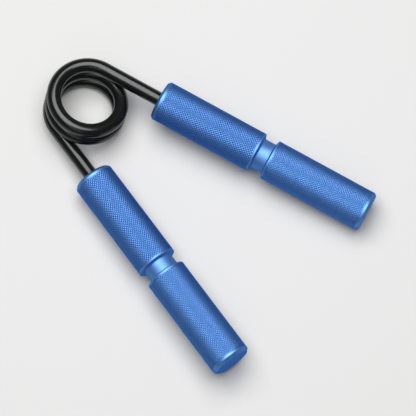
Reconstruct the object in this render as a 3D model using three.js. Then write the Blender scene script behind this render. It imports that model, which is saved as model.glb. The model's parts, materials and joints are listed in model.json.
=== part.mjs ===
// A hand gripper: two turned aluminium handles on the legs of a steel torsion spring.
//
// The gripper is drawn in its own plane first. There the coil's axis is +Z through the origin,
// the handles reach towards -Y, and the finger handle is on the +X side. The finger handle's leg
// leaves the top layer of the coil and the palm handle's leg leaves the bottom layer, so the two
// handles lie one wire stack apart. At the end the whole group is laid down on a floor, where it
// rests on the coil's rim, the palm handle's inner end and the finger handle's outer end.
// Millimetres, +Z up.
import * as THREE from "three";
import { ConvexHull } from "three/addons/math/ConvexHull.js";

// Spring
const WIRE_DIAMETER = 6.0;
const COIL_MEAN_RADIUS = 14.0;
const TURN_GAP = 0.32; // air gap between turns; a leg all but touches the turn that it passes
const EASE_TURNS = 0.1; // share of a turn over which the wire comes out of the leg's plane
const FULL_TURNS = 2; // whole turns; the half turn that turns the wire back comes on top
const OPENING_HALF_ANGLE = THREE.MathUtils.degToRad(13.0); // each leg's angle to the middle line
const FREE_LEG = 25.5; // straight wire between the coil and the handle
const SPRING_SIDES = 14;
const SPRING_STEP = 3.0; // length of one step along the wire

// Handles
const HANDLE_LENGTH = 96.0;
const HANDLE_DIAMETER = 17.0;
const END_CHAMFER = 1.0;
const GROOVE_WIDTH = 6.0; // waist at mid length, over its two flanks
const GROOVE_DEPTH = 2.0;
const GROOVE_FLANK = 1.2; // length along the handle of each rounded flank
const BORE_DEPTH = 60.0;
const BORE_CLEARANCE = 0.3; // round the leg and past its tip
const HANDLE_SEGMENTS = 48;
const FLANK_POINTS = 4;

const STEEL_DENSITY = 7.85; // only their ratio counts, for the balance point
const ALUMINIUM_DENSITY = 2.7;

const ANODISED_BLUE = new THREE.MeshStandardMaterial({ color: 0x2f6fc4, roughness: 0.35, metalness: 0.85 });
const BLACK_STEEL = new THREE.MeshStandardMaterial({ color: 0x17181a, roughness: 0.45, metalness: 0.6 });

// The wire's centre line: finger leg, coil, palm leg. The coil runs counter-clockwise seen from
// above while it sinks from the top layer to the bottom layer.
class SpringCentreLine extends THREE.Curve {
  constructor() {
    super();
    this.sweep = 2 * Math.PI * FULL_TURNS + Math.PI - 2 * OPENING_HALF_ANGLE;
    this.turns = this.sweep / (2 * Math.PI);
    this.leg = FREE_LEG + BORE_DEPTH - BORE_CLEARANCE;
    this.coil = this.sweep * COIL_MEAN_RADIUS;
    this.length = 2 * this.leg + this.coil;
    this.slope = (WIRE_DIAMETER + TURN_GAP) / (1 - EASE_TURNS / 2); // fall per turn, past the ease
    this.fall = this.slope * (this.turns - EASE_TURNS);
    this.arcLengthDivisions = 2000;
  }

  // How far the wire has sunk after some turns: level at first, steady, and level again.
  sunk(turns) {
    if (turns < EASE_TURNS) return (this.slope * turns * turns) / (2 * EASE_TURNS);
    if (turns > this.turns - EASE_TURNS) return this.fall - this.sunk(this.turns - turns);
    return this.slope * (turns - EASE_TURNS / 2);
  }

  getPoint(t, target = new THREE.Vector3()) {
    const along = t * this.length;
    const onCoil = THREE.MathUtils.clamp(along - this.leg, 0, this.coil) / COIL_MEAN_RADIUS;
    const angle = OPENING_HALF_ANGLE + onCoil;
    const height = this.fall / 2 - this.sunk(onCoil / (2 * Math.PI));
    target.set(COIL_MEAN_RADIUS * Math.cos(angle), COIL_MEAN_RADIUS * Math.sin(angle), height);
    const onLeg = Math.min(along - this.leg, 0) + Math.max(along - this.leg - this.coil, 0);
    target.x -= Math.sin(angle) * onLeg;
    target.y += Math.cos(angle) * onLeg;
    return target;
  }
}

function springMesh(centreLine) {
  const section = new THREE.Shape();
  section.absarc(0, 0, WIRE_DIAMETER / 2, 0, 2 * Math.PI);
  const geometry = new THREE.ExtrudeGeometry(section, {
    curveSegments: SPRING_SIDES / 2,
    steps: Math.round(centreLine.length / SPRING_STEP),
    extrudePath: centreLine,
    bevelEnabled: false,
  });
  const mesh = new THREE.Mesh(geometry, BLACK_STEEL.clone());
  mesh.name = "torsion_spring";
  return mesh;
}

// One flank of the waist: a quarter round at the rim and one at the bottom, drawn as half a cosine.
function flank(fromRadius, toRadius, fromY) {
  return Array.from({ length: FLANK_POINTS + 1 }, (_, i) => {
    const share = i / FLANK_POINTS;
    const blend = (1 - Math.cos(Math.PI * share)) / 2;
    return new THREE.Vector2(fromRadius + (toRadius - fromRadius) * blend, fromY + share * GROOVE_FLANK);
  });
}

// The handle stands on y = 0 with its drilled end, and its blind end is at y = HANDLE_LENGTH.
function handleProfile() {
  const outer = HANDLE_DIAMETER / 2;
  const neck = outer - GROOVE_DEPTH;
  const bore = WIRE_DIAMETER / 2 + BORE_CLEARANCE;
  const grooveStart = (HANDLE_LENGTH - GROOVE_WIDTH) / 2;
  const grooveEnd = (HANDLE_LENGTH + GROOVE_WIDTH) / 2;
  return [
    new THREE.Vector2(0, BORE_DEPTH),
    new THREE.Vector2(bore, BORE_DEPTH),
    new THREE.Vector2(bore, 0),
    new THREE.Vector2(outer - END_CHAMFER, 0),
    new THREE.Vector2(outer, END_CHAMFER),
    ...flank(outer, neck, grooveStart),
    ...flank(neck, outer, grooveEnd - GROOVE_FLANK),
    new THREE.Vector2(outer, HANDLE_LENGTH - END_CHAMFER),
    new THREE.Vector2(outer - END_CHAMFER, HANDLE_LENGTH),
    new THREE.Vector2(0, HANDLE_LENGTH),
  ];
}

// A handle sits coaxially on the leg that starts at the given end of the centre line (0 or 1).
function handleMesh(name, centreLine, end) {
  const mesh = new THREE.Mesh(new THREE.LatheGeometry(handleProfile(), HANDLE_SEGMENTS), ANODISED_BLUE.clone());
  const tip = centreLine.getPoint(end);
  const outwards = centreLine.getPoint(Math.abs(end - centreLine.leg / centreLine.length));
  outwards.subVectors(tip, outwards).normalize();
  mesh.name = name;
  mesh.quaternion.setFromUnitVectors(new THREE.Vector3(0, 1, 0), outwards);
  mesh.position.copy(tip).addScaledVector(outwards, BORE_CLEARANCE - BORE_DEPTH);
  return mesh;
}

function cornersOf(mesh) {
  mesh.updateMatrixWorld(true);
  const corners = mesh.geometry.getAttribute("position");
  return Array.from({ length: corners.count }, (_, i) =>
    new THREE.Vector3().fromBufferAttribute(corners, i).applyMatrix4(mesh.matrixWorld),
  );
}

// Adds a mesh's volume times its density to the sum of moments, cut into one tetrahedron a face.
function addMoments(sum, mesh, density) {
  const corners = cornersOf(mesh);
  const order = mesh.geometry.index ? Array.from(mesh.geometry.index.array) : corners.map((_, i) => i);
  for (let i = 0; i < order.length; i += 3) {
    const [a, b, c] = order.slice(i, i + 3).map((k) => corners[k]);
    const mass = (density * a.dot(b.clone().cross(c))) / 6;
    sum.mass += mass;
    sum.moment.addScaledVector(a, mass / 4).addScaledVector(b, mass / 4).addScaledVector(c, mass / 4);
  }
}

function balancePoint() {
  const sum = { mass: 0, moment: new THREE.Vector3() };
  addMoments(sum, spring, STEEL_DENSITY);
  addMoments(sum, fingerHandle, ALUMINIUM_DENSITY);
  addMoments(sum, palmHandle, ALUMINIUM_DENSITY);
  return sum.moment.divideScalar(sum.mass);
}

// True where the point lies straight over the triangle, looking along the triangle's normal.
function standsOver(point, face) {
  const [a, b, c] = [0, 1, 2].map((i) => face.getEdge(i).head().point);
  return [[a, b], [b, c], [c, a]].every(([from, to]) => {
    const side = new THREE.Vector3().subVectors(to, from).cross(point.clone().sub(from));
    return side.dot(face.normal) >= 0;
  });
}

// The floor's upward normal. Of the faces of the gripper's hull that have the balance point over
// them, so that it lies still on them, it is the one nearest to the gripper's own underside.
function restingNormal(meshes) {
  const hull = new ConvexHull().setFromPoints(meshes.flatMap(cornersOf));
  const balance = balancePoint();
  const stable = hull.faces.filter((face) => standsOver(balance, face));
  const lowest = stable.reduce((best, face) => (face.normal.z < best.normal.z ? face : best));
  return lowest.normal.clone().negate();
}

// Turns the group so that it stands on the floor with its middle line along Y, then moves it so
// that the origin is under the middle of its box.
function layDown(group, meshes) {
  const up = restingNormal(meshes);
  const middleLine = new THREE.Vector3(0, 1, 0).projectOnPlane(up).normalize();
  const across = new THREE.Vector3().crossVectors(middleLine, up);
  const turned = new THREE.Matrix4().makeBasis(across, middleLine, up).transpose();
  group.quaternion.setFromRotationMatrix(turned);
  group.updateMatrixWorld(true);
  const box = new THREE.Box3().setFromObject(group, true);
  group.position.set(-(box.min.x + box.max.x) / 2, -(box.min.y + box.max.y) / 2, -box.min.z);
}

const centreLine = new SpringCentreLine();
const spring = springMesh(centreLine);
const fingerHandle = handleMesh("finger_handle", centreLine, 0);
const palmHandle = handleMesh("palm_handle", centreLine, 1);
const gripper = new THREE.Group();
gripper.add(spring, fingerHandle, palmHandle);
layDown(gripper, [spring, fingerHandle, palmHandle]);

const group = new THREE.Group();
group.add(gripper);

export default group;
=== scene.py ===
# %% [markdown]
# # A hand gripper, from wire and bar to finished picture
# A gripper is three pieces: one length of black spring steel wound into a coil with two straight legs, and
# two blue aluminium handles pushed on the legs. Squeezing the handles winds the coil tighter.
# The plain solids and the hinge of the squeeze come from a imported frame. This lesson makes fine surfaces in
# their place: a wire that really winds, and handles whose knurling is cut into the mesh.

# %% Load the frame
import json
import math

import bpy
import numpy as np
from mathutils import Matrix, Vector


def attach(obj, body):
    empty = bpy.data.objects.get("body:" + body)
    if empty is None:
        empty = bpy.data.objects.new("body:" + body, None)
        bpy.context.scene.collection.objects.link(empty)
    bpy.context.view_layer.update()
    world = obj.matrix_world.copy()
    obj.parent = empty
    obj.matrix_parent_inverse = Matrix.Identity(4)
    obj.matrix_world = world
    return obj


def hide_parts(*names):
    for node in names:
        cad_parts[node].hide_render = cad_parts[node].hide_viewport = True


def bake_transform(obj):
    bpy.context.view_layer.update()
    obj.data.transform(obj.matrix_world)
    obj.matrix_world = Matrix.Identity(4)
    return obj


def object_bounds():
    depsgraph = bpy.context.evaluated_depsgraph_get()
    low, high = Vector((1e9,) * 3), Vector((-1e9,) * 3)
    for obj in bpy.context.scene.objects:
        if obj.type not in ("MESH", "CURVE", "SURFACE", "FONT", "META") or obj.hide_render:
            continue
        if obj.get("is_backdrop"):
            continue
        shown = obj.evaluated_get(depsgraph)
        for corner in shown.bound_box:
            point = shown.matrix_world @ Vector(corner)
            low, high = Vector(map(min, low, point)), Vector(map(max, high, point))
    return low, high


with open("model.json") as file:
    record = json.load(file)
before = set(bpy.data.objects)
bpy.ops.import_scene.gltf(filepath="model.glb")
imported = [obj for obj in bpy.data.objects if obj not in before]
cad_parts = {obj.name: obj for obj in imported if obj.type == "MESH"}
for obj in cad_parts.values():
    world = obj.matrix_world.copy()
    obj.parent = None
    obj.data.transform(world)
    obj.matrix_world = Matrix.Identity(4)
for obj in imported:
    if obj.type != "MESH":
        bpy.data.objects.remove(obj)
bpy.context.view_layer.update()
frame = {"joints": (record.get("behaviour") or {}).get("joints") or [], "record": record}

# %% [markdown]
# ## Where everything is
# The gripper lies at a lean, so it is easiest to draw in its own directions. The hinge gives the middle of
# the coil and the coil's axis. The flat outer end of each handle gives the handle's centre line. The coil's
# radius, the legs' angle and the wire's fall from one leg to the other follow from these. The sizes of the
# wire and of the handles aren't in the frame, so each is given where it is first used.

# %% The gripper's own directions
MM = 0.001
squeeze = frame["joints"][0]
coil_centre = np.array(squeeze["pos_m"])
coil_up = -np.array(squeeze["axis"]) / np.linalg.norm(squeeze["axis"])
handle_ends = {mount["name"]: mount for mount in frame["record"]["mounts"]}


def handle_line(handle):
    """The middle of a handle's outer end face, and the direction in which the handle points out."""
    face = handle_ends[handle + "_end"]
    outwards = np.array(face["axis"])
    return np.array(face["pos_m"]), outwards / np.linalg.norm(outwards)


finger_end, finger_out = handle_line("finger_handle")
palm_end, palm_out = handle_line("palm_handle")
towards_coil = -(finger_out + palm_out) / np.linalg.norm(finger_out + palm_out)
to_finger_side = np.cross(towards_coil, coil_up)

leg_angle = math.atan2(finger_out @ to_finger_side, -(finger_out @ towards_coil))
wire_fall = 2 * (finger_end - coil_centre) @ coil_up
leg_foot = math.cos(leg_angle) * to_finger_side + math.sin(leg_angle) * towards_coil
coil_radius = (finger_end - coil_centre) @ leg_foot
leg_to_handle_end = (finger_end - coil_centre) @ finger_out
print(f"coil radius {coil_radius / MM:.2f} mm, and the wire falls {wire_fall / MM:.2f} mm from leg to leg")
print(f"legs {math.degrees(leg_angle):.2f} degrees off the middle line")

# %% [markdown]
# ## One way to make every round piece
# A wire and a turned handle are both rings of points, one ring after another, closed by a point at each end.
# One function puts such rings into a mesh. The short diagonal of each square changes direction like the
# fields of a chess board, because the ridges of a diamond knurl then run along edges and stay sharp.
# Each piece also gets a map: U once round the ring, V in metres along its surface.

# %% Squares between rings, and the fans at both ends
def square_corners(rows, columns):
    """The row and the column of each triangle's corners. Every square between two rings is cut along one
    diagonal where row + column is even, and along the other where it is odd."""
    r, c = np.meshgrid(np.arange(rows - 1), np.arange(columns), indexing="ij")
    r, c = r.ravel(), c.ravel()
    even = (r + c) % 2 == 0
    here, right, above, across = (r, c), (r, c + 1), (r + 1, c), (r + 1, c + 1)
    first = [here, right, tuple(np.where(even, a, b) for a, b in zip(across, above))]
    second = [tuple(np.where(even, a, b) for a, b in zip(here, right)), across, above]
    corner_rows = np.concatenate([np.stack([k[0] for k in tri], 1) for tri in (first, second)])
    corner_columns = np.concatenate([np.stack([k[1] for k in tri], 1) for tri in (first, second)])
    return corner_rows, corner_columns


def fan_faces(rows, columns):
    """Triangles from the first pole to each step of the first ring, and from the last pole to the last."""
    k = np.arange(columns)
    following = (k + 1) % columns
    last = (rows - 1) * columns
    start_fan = np.stack([np.full(columns, rows * columns), following, k], 1)
    end_fan = np.stack([np.full(columns, rows * columns + 1), last + k, last + following], 1)
    return np.concatenate([start_fan, end_fan])


def wrap_map(corner_rows, corner_columns, columns, along):
    """U is column / columns, and at a pole the middle of the step. V is the ring's distance along."""
    k = np.arange(columns)
    middle = (k + 0.5) / columns
    start_u = np.stack([middle, (k + 1) / columns, k / columns], 1)
    end_u = np.stack([middle, k / columns, (k + 1) / columns], 1)
    u = np.concatenate([corner_columns / columns, start_u, end_u])
    start_v, end_v = (np.full((columns, 3), along[row]) for row in (0, -1))
    v = np.concatenate([along[corner_rows], start_v, end_v])
    return np.stack([u, v], 2)


# %% Rings to mesh
def ring_mesh(name, rings, poles, along, masks, flat_rows=None):
    """A closed skin over rings (rows x columns x 3) with a pole point before the first and after the last.
    Each mask has one value a point, and the squares of the flat rows aren't shaded smooth."""
    rows, columns, _ = rings.shape
    points = np.concatenate([rings.reshape(-1, 3), poles])
    corner_rows, corner_columns = square_corners(rows, columns)
    squares = corner_rows * columns + corner_columns % columns
    faces = np.concatenate([squares, fan_faces(rows, columns)]).astype(np.int32)

    mesh = bpy.data.meshes.new(name)
    mesh.vertices.add(len(points))
    mesh.vertices.foreach_set("co", points.astype(np.float32).ravel())
    mesh.loops.add(faces.size)
    mesh.loops.foreach_set("vertex_index", faces.ravel())
    mesh.polygons.add(len(faces))
    mesh.polygons.foreach_set("loop_start", np.arange(0, faces.size, 3, dtype=np.int32))
    smooth = np.ones(len(faces), bool)
    if flat_rows is not None:
        smooth[: len(squares)] = ~flat_rows[corner_rows.min(axis=1)]
    mesh.polygons.foreach_set("use_smooth", smooth)

    wrap = wrap_map(corner_rows, corner_columns, columns, along)
    mesh.uv_layers.new(name="wrap").data.foreach_set("uv", wrap.astype(np.float32).ravel())
    for mask_name, values in masks.items():
        layer = mesh.attributes.new(mask_name, "FLOAT", "POINT")
        padded = np.concatenate([values.ravel(), [values[0].mean(), values[-1].mean()]])
        layer.data.foreach_set("value", padded.astype(np.float32))
    mesh.update(calc_edges=True)
    mesh.validate()
    piece = bpy.data.objects.new(name, mesh)
    bpy.context.scene.collection.objects.link(piece)
    print(f"{name}: {len(faces)} triangles")
    return piece


# %% [markdown]
# ## The torsion spring
# The real spring is one piece of hard-drawn wire: a straight leg, just under two and a half turns, and a
# second straight leg. It could be a curve with a round bevel, but a curve can't carry a mask for the rubbed
# places, and its rings twist. Here the centre line is a formula, and each ring stands on it with the coil's
# axis as its upright, so nothing twists.

# %% The wire's centre line
WIRE_RADIUS = 3.0 * MM
FULL_TURNS = 2
EASE_TURNS = 0.1  # share of a turn over which the wire leaves the level of a leg
HANDLE_LENGTH = 96.0 * MM
BORE_DEPTH = 60.0 * MM
TIP_CLEARANCE = 0.3 * MM  # between the wire's tip and the bottom of the bore

coil_sweep = 2 * math.pi * FULL_TURNS + math.pi - 2 * leg_angle
turns = coil_sweep / (2 * math.pi)
fall_per_turn = wire_fall / (turns - EASE_TURNS)
leg_length = leg_to_handle_end - HANDLE_LENGTH + BORE_DEPTH - TIP_CLEARANCE
coil_length = coil_sweep * coil_radius
wire_length = 2 * leg_length + coil_length


def sunk(turned):
    """How far the wire has sunk after some turns: a parabola over the first ease, a straight line, and the
    same parabola turned round over the last ease."""
    start = fall_per_turn * turned**2 / (2 * EASE_TURNS)
    middle = fall_per_turn * (turned - EASE_TURNS / 2)
    end = wire_fall - fall_per_turn * (turns - turned) ** 2 / (2 * EASE_TURNS)
    return np.where(turned < EASE_TURNS, start, np.where(turned > turns - EASE_TURNS, end, middle))


def wire_centre(along):
    """Centre line by distance: a circle's point at the angle that the wire has turned, plus the straight
    part of a leg along the circle's tangent there, minus the height that it has sunk."""
    turned_angle = np.clip(along - leg_length, 0, coil_length) / coil_radius
    angle = leg_angle + turned_angle
    straight = np.minimum(along - leg_length, 0) + np.maximum(along - leg_length - coil_length, 0)
    x = coil_radius * np.cos(angle) - np.sin(angle) * straight
    y = coil_radius * np.sin(angle) + np.cos(angle) * straight
    z = wire_fall / 2 - sunk(turned_angle / (2 * math.pi))
    axes = np.stack([to_finger_side, towards_coil, coil_up])
    return coil_centre + np.stack([x, y, z], 1) @ axes


print(f"wire {wire_length / MM:.0f} mm long, {turns:.2f} turns")

# %% The wire's rings
WIRE_ROWS = 860
WIRE_COLUMNS = 48
TIP_ROWS = 6
TIP_START = 0.2  # radians, so that the first ring isn't a point
SKIN_CLEARANCE = 0.06 * MM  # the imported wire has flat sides, and a full circle would stand out of them
TANGENT_STEP = 0.05 * MM


def wire_rings():
    """Rings on the centre line: centre + radius * (cos round * side + sin round * upright), where the side
    is the tangent crossed with the coil's axis. The radius closes as a quarter circle at both tips."""
    tip = WIRE_RADIUS / 2 * np.sin(np.linspace(TIP_START, math.pi / 2, TIP_ROWS))
    between_tips = np.linspace(WIRE_RADIUS, wire_length - WIRE_RADIUS, WIRE_ROWS)
    along = np.concatenate([tip, between_tips, wire_length - tip[::-1]])
    from_tip = np.clip(np.minimum(along, wire_length - along) / WIRE_RADIUS, 0, 1)
    radius = (WIRE_RADIUS - SKIN_CLEARANCE) * np.sqrt(1 - (1 - from_tip) ** 2)
    tangent = wire_centre(along + TANGENT_STEP) - wire_centre(along - TANGENT_STEP)
    tangent /= np.linalg.norm(tangent, axis=1, keepdims=True)
    side = np.cross(tangent, coil_up)
    side /= np.linalg.norm(side, axis=1, keepdims=True)
    upright = np.cross(side, tangent)
    cos_round, sin_round = np.cos(round_angle)[:, None], np.sin(round_angle)[:, None]
    across = cos_round * side[:, None] + sin_round * upright[:, None]
    return wire_centre(along)[:, None] + radius[:, None, None] * across, along


round_angle = 2 * math.pi * np.arange(WIRE_COLUMNS) / WIRE_COLUMNS
rings, along_wire = wire_rings()
print(f"{len(rings)} rings of {WIRE_COLUMNS} points on the wire")

# %% Where the turns rub, and the finished wire
RUB_ONSET = 6  # full a sixth of a turn past the place where the next turn begins to lie over the wire
RUB_SHARPNESS = 8


def rubbed_mask(along):
    """A power of the sine round the wire: its top wherever a turn lies above it, and its bottom wherever a
    turn lies below it."""
    turned = (along - leg_length) / (2 * math.pi * coil_radius)
    turn_above = np.clip((turned - 1) * RUB_ONSET, 0, 1) * (turned < turns)
    turn_below = np.clip((turns - 1 - turned) * RUB_ONSET, 0, 1) * (turned > 0)
    top, bottom = (np.clip(sign * np.sin(round_angle), 0, 1) ** RUB_SHARPNESS for sign in (1, -1))
    return turn_above[:, None] * top + turn_below[:, None] * bottom


tips = wire_centre(np.array([0.0, wire_length]))
spring = ring_mesh("spring_wire", rings, tips, along_wire, {"rubbed": rubbed_mask(along_wire)})
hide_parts("torsion_spring")

# %% [markdown]
# ## The handles
# Each handle is turned from bar: chamfered ends, a smooth band at each end, a smooth waist in the middle
# where a finger settles, and a diamond knurl rolled in between. A picture of a knurl looks flat at the
# silhouette, so the diamonds are real here. Two families of grooves cross, and every place takes the lower
# of the two ridges between them, which leaves small pyramids. Four points to a diamond each way are enough.

# %% The handle's sizes
HANDLE_RADIUS = 8.5 * MM
CREST_RADIUS = HANDLE_RADIUS - 0.03 * MM
BAND_RADIUS = HANDLE_RADIUS - 0.06 * MM
CHAMFER = 1.0 * MM
END_BAND = 1.9 * MM
WAIST_WIDTH = 6.0 * MM
WAIST_DEPTH = 2.0 * MM
WAIST_FLANK = 1.2 * MM
SHOULDER = 0.7 * MM  # plain stretch on either side of the waist
BORE_RADIUS = 3.08 * MM  # the real leg fills the bore, and here 0.14 mm stays free round it
BORE_FLOOR_RING = 0.4  # the innermost ring of the bore's floor, as a share of its radius
COUNTERSINK = 0.5 * MM
FACE_CENTRE = 0.3 * MM  # the innermost ring of the outer end face
CORNER_ROUND = 0.22 * MM
CORNER_POINTS = 5
SIDE_PART = 2.5  # a rounded corner takes at most one part in 2.5 of the line next to it

KNURL_DEPTH = 0.16 * MM
KNURL_FADE = 0.6 * MM
DIAMONDS_ROUND = 44
DIAMONDS_ALONG = 34
POINTS_PER_DIAMOND = 4
HANDLE_COLUMNS = DIAMONDS_ROUND * POINTS_PER_DIAMOND
print(f"a diamond is {2 * math.pi * HANDLE_RADIUS / DIAMONDS_ROUND / MM:.2f} mm wide")

# %% The turned parts of the outline
def rounded_outline(corners):
    """The corners joined by straight lines, with each inner corner replaced by a small parabola: two blends
    of the points before and after it, blended again."""
    corners = np.array(corners)
    pieces = [corners[:1]]
    share = np.linspace(0, 1, CORNER_POINTS)[:, None]
    for before, corner, after in zip(corners, corners[1:], corners[2:]):
        length_in, length_out = np.linalg.norm(before - corner), np.linalg.norm(after - corner)
        enter = corner + (before - corner) / length_in * min(CORNER_ROUND, length_in / SIDE_PART)
        leave = corner + (after - corner) / length_out * min(CORNER_ROUND, length_out / SIDE_PART)
        pieces.append((1 - share) ** 2 * enter + 2 * share * (1 - share) * corner + share**2 * leave)
    pieces.append(corners[-1:])
    return np.concatenate(pieces)


def plain_rows():
    """The turned parts of the outline as (along, radius) lists: the drilled end, the waist, the blind end."""
    middle = HANDLE_LENGTH / 2
    neck = BAND_RADIUS - WAIST_DEPTH
    half = WAIST_WIDTH / 2
    drilled_end = rounded_outline([
        (BORE_DEPTH, BORE_FLOOR_RING * BORE_RADIUS), (BORE_DEPTH, BORE_RADIUS),
        (COUNTERSINK, BORE_RADIUS), (0, BORE_RADIUS + COUNTERSINK),
        (0, BAND_RADIUS - CHAMFER), (CHAMFER, BAND_RADIUS), (END_BAND, BAND_RADIUS),
    ])
    waist = rounded_outline([
        (middle - half - SHOULDER, BAND_RADIUS), (middle - half, BAND_RADIUS),
        (middle - half + WAIST_FLANK / 2, neck), (middle + half - WAIST_FLANK / 2, neck),
        (middle + half, BAND_RADIUS), (middle + half + SHOULDER, BAND_RADIUS),
    ])
    blind_end = rounded_outline([
        (HANDLE_LENGTH - END_BAND, BAND_RADIUS), (HANDLE_LENGTH - CHAMFER, BAND_RADIUS),
        (HANDLE_LENGTH, BAND_RADIUS - CHAMFER), (HANDLE_LENGTH, FACE_CENTRE),
    ])
    return drilled_end, waist, blind_end


# %% The whole outline
def knurl_rows(start, end):
    """Level rows between two plain stretches, four to a diamond; the plain stretches own the edge rows."""
    inner = np.linspace(start, end, DIAMONDS_ALONG * POINTS_PER_DIAMOND + 1)[1:-1]
    return np.stack([inner, np.full(len(inner), BAND_RADIUS)], 1)


drilled_end, waist, blind_end = plain_rows()
knurl_before = knurl_rows(drilled_end[-1, 0], waist[0, 0])
knurl_after = knurl_rows(waist[-1, 0], blind_end[0, 0])
stretches = [drilled_end, knurl_before, waist, knurl_after, blind_end]  # every second one is knurled
outline = np.concatenate(stretches)
knurled = np.concatenate([np.full(len(rows), k % 2 == 1) for k, rows in enumerate(stretches)])
print(f"{len(outline)} rows on a handle, {knurled.sum()} of them knurled")

# %% The knurl
def ridge(phase):
    """A saw roof: 0 where a groove runs, at every whole number, and 1 halfway between two grooves."""
    return 1 - np.abs(2 * (phase % 1) - 1)


def knurled_radius():
    """The outline's radius, and over the knurl the crest's radius less the depth times one minus the lower of
    two ridges, whose phases are diamonds round plus and minus diamonds along. It fades in at both ends."""
    share_round = np.arange(HANDLE_COLUMNS) / POINTS_PER_DIAMOND
    pitch = (knurl_before[-1, 0] - knurl_before[0, 0]) / (len(knurl_before) - 1) * POINTS_PER_DIAMOND
    along = outline[:, 0]
    start = np.where(along < HANDLE_LENGTH / 2, END_BAND, waist[-1, 0])
    end = np.where(along < HANDLE_LENGTH / 2, waist[0, 0], HANDLE_LENGTH - END_BAND)
    share_along = ((along - start) / pitch)[:, None]
    height = np.minimum(ridge(share_round + share_along), ridge(share_round - share_along))
    fade = np.clip(np.minimum(along - start, end - along) / KNURL_FADE, 0, 1) * knurled
    diamonds = CREST_RADIUS - KNURL_DEPTH * (1 - height)
    radius = outline[:, 1][:, None] + fade[:, None] * (diamonds - outline[:, 1][:, None])
    crest = np.where(knurled[:, None], height * fade[:, None], 0.0)
    return radius, crest


# %% Masks for the finish
FULL_ARRIS = 0.35  # bend in radians from which an edge wears like a sharp one


def arris_by_row():
    """How far the outline bends at each row, from 0 on a straight line to 1 at a full arris. Before its first
    point and after its last one, the outline is taken to run straight out from and in to the centre line."""
    inwards = [[0, MM]]
    before = np.diff(outline, axis=0, prepend=outline[:1] - inwards)
    after = np.diff(outline, axis=0, append=outline[-1:] - inwards)
    turn = np.arctan2(after[:, 1], after[:, 0]) - np.arctan2(before[:, 1], before[:, 0])
    turn = np.abs((turn + math.pi) % (2 * math.pi) - math.pi)
    return np.where(knurled, 0, np.clip(turn / FULL_ARRIS, 0, 1))


def handle_masks(crest):
    """Crests point by point, and turned parts, waist and arrises row by row."""
    in_waist = np.abs(outline[:, 0] - HANDLE_LENGTH / 2) < WAIST_WIDTH / 2 + SHOULDER / 2
    by_row = {"turned": ~knurled, "in_waist": in_waist, "arris": arris_by_row()}
    masks = {"crest": crest}
    for name, row in by_row.items():
        masks[name] = np.repeat(row[:, None].astype(float), HANDLE_COLUMNS, axis=1)
    return masks


# %% Both handles
def make_handle(name, node, end_centre, outwards):
    """Rings round the handle's centre line: centre + outwards * along + radius * (cos * side + sin * up)."""
    near_centre = end_centre - outwards * HANDLE_LENGTH
    side = np.cross(coil_up, outwards)
    up = np.cross(outwards, side)
    radius, crest = knurled_radius()
    angle = 2 * math.pi * np.arange(HANDLE_COLUMNS) / HANDLE_COLUMNS
    across = np.cos(angle)[:, None] * side + np.sin(angle)[:, None] * up
    centres = near_centre + outline[:, :1] * outwards
    rings = centres[:, None] + radius[:, :, None] * across[None]
    poles = np.stack([near_centre + outwards * BORE_DEPTH, end_centre])
    travelled = np.cumsum(np.linalg.norm(np.diff(outline, axis=0, prepend=outline[:1]), axis=1))
    handle = ring_mesh(name, rings, poles, travelled, handle_masks(crest), flat_rows=knurled)
    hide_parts(node)
    return handle


finger_handle = make_handle("finger_handle_knurled", "finger_handle", finger_end, finger_out)
palm_handle = make_handle("palm_handle_knurled", "palm_handle", palm_end, palm_out)

# %% [markdown]
# ## Shared effects
# Three things show on both metals, so each is a node group: a fine grain that breaks up the gloss, lines left
# by the tool or the drawing die, and wear where hands and turns rub. Each gives only a value or a mask, and
# the material decides what it does with it.

# %% Node helpers
def new_group(name, inputs, outputs):
    """An empty shader group with float or vector inputs and float outputs."""
    group = bpy.data.node_groups.new(name, "ShaderNodeTree")
    for label, kind, value in inputs:
        socket = group.interface.new_socket(label, in_out="INPUT", socket_type=kind)
        if value is not None:
            socket.default_value = value
    for label in outputs:
        group.interface.new_socket(label, in_out="OUTPUT", socket_type="NodeSocketFloat")
    return group, group.nodes.new("NodeGroupInput"), group.nodes.new("NodeGroupOutput")


def math_node(tree, operation, first, second):
    """A Math node whose inputs are sockets or numbers."""
    node = tree.nodes.new("ShaderNodeMath")
    node.operation = operation
    for socket, value in zip(node.inputs, (first, second)):
        if isinstance(value, bpy.types.NodeSocket):
            tree.links.new(value, socket)
        else:
            socket.default_value = value
    return node.outputs[0]


def scaled(tree, value, factor, start):
    """start + value * factor, with numbers or sockets."""
    return math_node(tree, "ADD", math_node(tree, "MULTIPLY", value, factor), start)


def mix_values(tree, share, first, second):
    """first + share * (second - first), with numbers or sockets."""
    return scaled(tree, share, math_node(tree, "SUBTRACT", second, first), first)


def noise_node(tree, vector, scale, detail):
    """Noise from 0 to 1 at a place. The scale is a number or a socket."""
    node = tree.nodes.new("ShaderNodeTexNoise")
    node.inputs["Detail"].default_value = detail
    tree.links.new(vector, node.inputs["Vector"])
    if isinstance(scale, bpy.types.NodeSocket):
        tree.links.new(scale, node.inputs["Scale"])
    else:
        node.inputs["Scale"].default_value = scale
    return node.outputs["Fac"]


# %% Fine grain
FINER_BY = 3.1
FINE_PART = 0.25


def fine_grain_group():
    """Two sizes of noise, three parts coarse to one part fine, as a value round one half."""
    inputs = [("Place", "NodeSocketVector", None), ("Scale", "NodeSocketFloat", 2500.0)]
    group, given, result = new_group("fine_grain", inputs, ["Value"])
    coarse = noise_node(group, given.outputs["Place"], given.outputs["Scale"], detail=3.0)
    finer_scale = math_node(group, "MULTIPLY", given.outputs["Scale"], FINER_BY)
    fine = noise_node(group, given.outputs["Place"], finer_scale, detail=2.0)
    group.links.new(mix_values(group, FINE_PART, coarse, fine), result.inputs["Value"])
    return group


GRAIN = fine_grain_group()
print("group", GRAIN.name)

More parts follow.
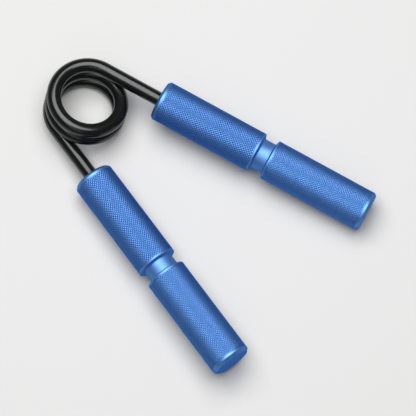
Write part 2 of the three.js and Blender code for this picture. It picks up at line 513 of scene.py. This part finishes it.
# %% Tool lines
def tool_lines_group():
    """Noise at (Round * cos, Round * sin, Along * distance) of the wrap map, which closes on itself round the
    piece. Many per metre along and none round gives the rings of a lathe tool, and many round and few along
    gives the lines of a drawing die."""
    inputs = [
        ("Wrap", "NodeSocketVector", None),
        ("Round", "NodeSocketFloat", 0.0),
        ("Along", "NodeSocketFloat", 5000.0),
    ]
    group, given, result = new_group("tool_lines", inputs, ["Value"])
    split = group.nodes.new("ShaderNodeSeparateXYZ")
    group.links.new(given.outputs["Wrap"], split.inputs[0])
    angle = math_node(group, "MULTIPLY", split.outputs["X"], 2 * math.pi)
    place = group.nodes.new("ShaderNodeCombineXYZ")
    for axis, operation in (("X", "COSINE"), ("Y", "SINE")):
        wave = math_node(group, operation, angle, 0.0)
        group.links.new(math_node(group, "MULTIPLY", wave, given.outputs["Round"]), place.inputs[axis])
    distance = math_node(group, "MULTIPLY", split.outputs["Y"], given.outputs["Along"])
    group.links.new(distance, place.inputs["Z"])
    group.links.new(noise_node(group, place.outputs[0], 1.0, detail=2.0), result.inputs["Value"])
    return group


TOOL_LINES = tool_lines_group()
print("group", TOOL_LINES.name)

# %% Rubbed wear
PATCH_SCALE = 420.0
PATCH_LEVEL = 0.42
PATCH_CONTRAST = 5.0


def rubbed_wear_group():
    """A mask of where a surface is rubbed: the given mask, broken up by noise, times the amount."""
    inputs = [
        ("Place", "NodeSocketVector", None),
        ("Mask", "NodeSocketFloat", 0.0),
        ("Amount", "NodeSocketFloat", 0.5),
    ]
    group, given, result = new_group("rubbed_wear", inputs, ["Worn"])
    patches = noise_node(group, given.outputs["Place"], PATCH_SCALE, detail=4.0)
    above = math_node(group, "SUBTRACT", patches, PATCH_LEVEL)
    sharp = math_node(group, "MULTIPLY", above, PATCH_CONTRAST)
    sharp.node.use_clamp = True
    masked = math_node(group, "MULTIPLY", sharp, given.outputs["Mask"])
    worn = math_node(group, "MULTIPLY", masked, given.outputs["Amount"])
    worn.node.use_clamp = True
    group.links.new(worn, result.inputs["Worn"])
    return group


WEAR = rubbed_wear_group()
print("group", WEAR.name)

# %% Material helpers
def new_material(name):
    """A material, its node tree, its shader, and the Object and UV coordinates."""
    material = bpy.data.materials.new(name)
    material.use_nodes = True
    tree = material.node_tree
    shader = tree.nodes["Principled BSDF"]
    coordinates = tree.nodes.new("ShaderNodeTexCoord")
    return material, tree, shader, coordinates.outputs["Object"], coordinates.outputs["UV"]


def place_group(tree, group, vector, **values):
    """A group node with its first input linked and its other inputs set or linked."""
    node = tree.nodes.new("ShaderNodeGroup")
    node.node_tree = group
    tree.links.new(vector, node.inputs[0])
    for label, value in values.items():
        if isinstance(value, bpy.types.NodeSocket):
            tree.links.new(value, node.inputs[label])
        else:
            node.inputs[label].default_value = value
    return node.outputs[0]


def mask_node(tree, name):
    """One of the masks that ring_mesh put on the points."""
    node = tree.nodes.new("ShaderNodeAttribute")
    node.attribute_name = name
    return node.outputs["Fac"]


def mix_colours(tree, share, first, second):
    """Blends two colours, sockets or plain numbers, by a share from 0 to 1."""
    node = tree.nodes.new("ShaderNodeMix")
    node.data_type = "RGBA"
    tree.links.new(share, node.inputs[0])
    for socket, colour in zip((node.inputs[6], node.inputs[7]), (first, second)):
        if isinstance(colour, bpy.types.NodeSocket):
            tree.links.new(colour, socket)
        else:
            socket.default_value = (*colour, 1.0)
    return node.outputs[2]


def add_bump(tree, shader, height, distance, strength):
    """Turns a height from 0 to 1 into a relief of the given distance."""
    bump = tree.nodes.new("ShaderNodeBump")
    bump.inputs["Distance"].default_value = distance
    bump.inputs["Strength"].default_value = strength
    tree.links.new(height, bump.inputs["Height"])
    tree.links.new(bump.outputs["Normal"], shader.inputs["Normal"])


# %% [markdown]
# ## Blue anodised aluminium
# Anodising grows a hard clear skin on the metal and a dye soaks into it, so the colour is the metal's own
# reflection, tinted. That asks for a fully metallic shader with a blue base, not a blue paint. The whole
# handle is etched to a satin first, and fine rings from the lathe show on its plain parts. The waist gets
# the dullest finish, because a smooth hollow between two knurls already shines the most. The knurl's grooves
# get a darker blue as painted shade in the recesses, and the crests and the arrises are rubbed paler by
# hands.

# %% The handles' finish
DYE = (0.125, 0.300, 0.64)
# a darker blue painted into the bottoms of the knurl's grooves as shade
GROOVE_PAINTED_SHADE = (0.055, 0.15, 0.44)
RUBBED_DYE = (0.28, 0.47, 0.80)
GRAZING_TINT = (0.02, 0.06, 0.48)  # light that leaves at a shallow angle has crossed more dye
KNURL_ROUGHNESS = 0.50
BAND_ROUGHNESS = 0.52
WAIST_ROUGHNESS = 0.58
GRAIN_ROUGHENS = 0.16
RINGS_ROUGHEN = 0.30
CREST_WEAR = 3.0  # power of the diamonds' height, so that only their tips are rubbed
HANDLE_RELIEF = 0.05 * MM
GRAIN_RELIEF = 0.4  # as a share of the rings' relief


def anodised_blue():
    """One material for knurl, bands and waist, which the masks on the mesh tell apart."""
    material, tree, shader, place, wrap = new_material("anodised_blue")
    names = ("crest", "turned", "in_waist", "arris")
    crest, turned, in_waist, arris = (mask_node(tree, name) for name in names)
    grain = place_group(tree, GRAIN, place, Scale=2600.0)
    rings = place_group(tree, TOOL_LINES, wrap, Round=0.0, Along=4200.0)
    high = math_node(tree, "MAXIMUM", turned, crest)
    rubbed_places = math_node(tree, "MAXIMUM", math_node(tree, "POWER", crest, CREST_WEAR), arris)
    worn = place_group(tree, WEAR, place, Mask=rubbed_places, Amount=0.4)
    # the dye, darker towards the bottoms of the knurl's grooves as painted shade
    dye_with_groove_shade = mix_colours(tree, high, GROOVE_PAINTED_SHADE, DYE)
    tree.links.new(mix_colours(tree, worn, dye_with_groove_shade, RUBBED_DYE), shader.inputs["Base Color"])
    on_knurl = scaled(tree, grain, GRAIN_ROUGHENS, KNURL_ROUGHNESS - GRAIN_ROUGHENS / 2)
    smooth_part = mix_values(tree, in_waist, BAND_ROUGHNESS, WAIST_ROUGHNESS)
    on_turned = scaled(tree, math_node(tree, "SUBTRACT", rings, 0.5), RINGS_ROUGHEN, smooth_part)
    tree.links.new(mix_values(tree, turned, on_knurl, on_turned), shader.inputs["Roughness"])
    height = mix_values(tree, turned, math_node(tree, "MULTIPLY", grain, GRAIN_RELIEF), rings)
    add_bump(tree, shader, height, distance=HANDLE_RELIEF, strength=0.6)
    shader.inputs["Metallic"].default_value = 1.0
    shader.inputs["Specular Tint"].default_value = (*GRAZING_TINT, 1.0)
    return material


blue = anodised_blue()
for handle in (finger_handle, palm_handle):
    handle.data.materials.append(blue)
print(blue.name, "on both handles")

# %% [markdown]
# ## Black spring steel
# The wire is drawn through a die, wound, hardened and coated black. The coat is so thin that the long
# drawing lines show in its gloss, and it is rubbed a little where one turn slides on the next. The coat
# isn't metal, so it is dark and non-metallic, and only the rubbed places are steel.

# %% The spring's finish
COAT_BLACK = (0.0035, 0.0042, 0.0038)
RUBBED_STEEL = (0.11, 0.115, 0.11)
LINES_PART = 0.65  # the grain makes up the rest of the coat's texture
COAT_ROUGHNESS = 0.12  # where the texture is lowest
TEXTURE_ROUGHENS = 0.16
COAT_RELIEF = 0.025 * MM


def black_spring_steel():
    """A dark coat with lines and grain in its gloss and its relief, mixed with steel by the rubbed mask."""
    material, tree, shader, place, wrap = new_material("black_spring_steel")
    grain = place_group(tree, GRAIN, place, Scale=3000.0)
    lines = place_group(tree, TOOL_LINES, wrap, Round=9.0, Along=45.0)
    worn = place_group(tree, WEAR, place, Mask=mask_node(tree, "rubbed"), Amount=0.35)
    tree.links.new(mix_colours(tree, worn, COAT_BLACK, RUBBED_STEEL), shader.inputs["Base Color"])
    tree.links.new(worn, shader.inputs["Metallic"])
    texture = mix_values(tree, LINES_PART, grain, lines)
    tree.links.new(scaled(tree, texture, TEXTURE_ROUGHENS, COAT_ROUGHNESS), shader.inputs["Roughness"])
    add_bump(tree, shader, texture, distance=COAT_RELIEF, strength=0.35)
    shader.inputs["Specular IOR Level"].default_value = 0.45
    return material


spring.data.materials.append(black_spring_steel())
print(spring.data.materials[0].name, "on the spring")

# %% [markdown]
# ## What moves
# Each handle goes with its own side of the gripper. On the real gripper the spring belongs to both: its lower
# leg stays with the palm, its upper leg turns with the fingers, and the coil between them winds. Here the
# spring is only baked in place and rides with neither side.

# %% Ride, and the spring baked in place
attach(finger_handle, "finger_side")
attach(palm_handle, "palm_side")
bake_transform(spring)

# %% [markdown]
# ## Floor, camera and light
# The gripper lies on a pale floor and is seen from nearly overhead, with the coil at the upper left. Metal
# shows what it reflects, so the light is soft and large: a broad panel almost overhead gives each handle its
# long bright stripe, a weak one at the side opens the shadows, and the darker room round them gives the
# stripe its edges.

# %% The floor
FLOOR_HALF = 3.0
FLOOR_COLOUR = (0.56, 0.555, 0.55)
FLOOR_ROUGHNESS = 0.65


def pale_floor():
    """One large square at the height of zero, with a faint grain like paper."""
    mesh = bpy.data.meshes.new("floor")
    corners = [(-FLOOR_HALF, -FLOOR_HALF, 0), (FLOOR_HALF, -FLOOR_HALF, 0),
               (FLOOR_HALF, FLOOR_HALF, 0), (-FLOOR_HALF, FLOOR_HALF, 0)]
    mesh.from_pydata(corners, [], [(0, 1, 2, 3)])
    floor = bpy.data.objects.new("floor", mesh)
    bpy.context.scene.collection.objects.link(floor)
    material, tree, shader, place, _ = new_material("floor_paper")
    grain = place_group(tree, GRAIN, place, Scale=900.0)
    add_bump(tree, shader, grain, distance=0.02 * MM, strength=0.3)
    shader.inputs["Base Color"].default_value = (*FLOOR_COLOUR, 1.0)
    shader.inputs["Roughness"].default_value = FLOOR_ROUGHNESS
    mesh.materials.append(material)
    floor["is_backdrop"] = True


pale_floor()
print(f"floor {2 * FLOOR_HALF:.0f} m square")

# %% The camera
CAMERA_DISTANCE = 1.23
CAMERA_AZIMUTH = math.radians(-48.7)
CAMERA_ELEVATION = math.radians(76.0)
SHOWN_WIDTH = 0.168  # metres from side to side of the picture at that distance
VIEW_SHIFT = 16 * MM  # from the box's middle towards the handles, which spread wider than the coil
SENSOR = 36.0


def direction(azimuth, elevation):
    """An arrow of length one, from angles in radians. Azimuth 0 points to the front, and an elevation of a
    quarter circle points straight up."""
    level = math.cos(elevation)
    return Vector((math.sin(azimuth) * level, -math.cos(azimuth) * level, math.sin(elevation)))


def add_camera():
    """A long lens that looks at the gripper's middle. Its focal length is sensor * distance / shown width."""
    low, high = (np.array(corner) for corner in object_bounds())
    middle = Vector((low + high) / 2 - towards_coil * VIEW_SHIFT)
    back = direction(CAMERA_AZIMUTH, CAMERA_ELEVATION)
    lens = bpy.data.cameras.new("camera")
    lens.sensor_width = SENSOR
    lens.lens = SENSOR * CAMERA_DISTANCE / SHOWN_WIDTH
    camera = bpy.data.objects.new("camera", lens)
    camera.location = middle + back * CAMERA_DISTANCE
    camera.rotation_mode = "QUATERNION"
    camera.rotation_quaternion = (-back).to_track_quat("-Z", "Y")
    bpy.context.scene.collection.objects.link(camera)
    bpy.context.scene.camera = camera
    print(f"lens {lens.lens:.0f} mm")


add_camera()

# %% The light
ROOM_COLOUR = (0.90, 0.94, 1.0)
ROOM_STRENGTH = 0.13


def add_panel(name, azimuth, elevation, distance, size, power):
    """A square soft light that looks at the origin, placed by its direction and distance."""
    data = bpy.data.lights.new(name, "AREA")
    data.size = size
    data.energy = power
    light = bpy.data.objects.new(name, data)
    towards = direction(math.radians(azimuth), math.radians(elevation))
    light.location = towards * distance
    light.rotation_mode = "QUATERNION"
    light.rotation_quaternion = (-towards).to_track_quat("-Z", "Y")
    bpy.context.scene.collection.objects.link(light)


add_panel("overhead_panel", azimuth=150, elevation=80, distance=1.1, size=1.0, power=20)
add_panel("side_panel", azimuth=-60, elevation=50, distance=1.4, size=0.7, power=1)

world = bpy.data.worlds.new("room")
bpy.context.scene.world = world
world.use_nodes = True
background = world.node_tree.nodes["Background"]
background.inputs["Color"].default_value = (*ROOM_COLOUR, 1.0)
background.inputs["Strength"].default_value = ROOM_STRENGTH
bpy.context.scene.view_settings.view_transform = "Standard"
print(f"{len(bpy.data.lights)} panels and a dim room")
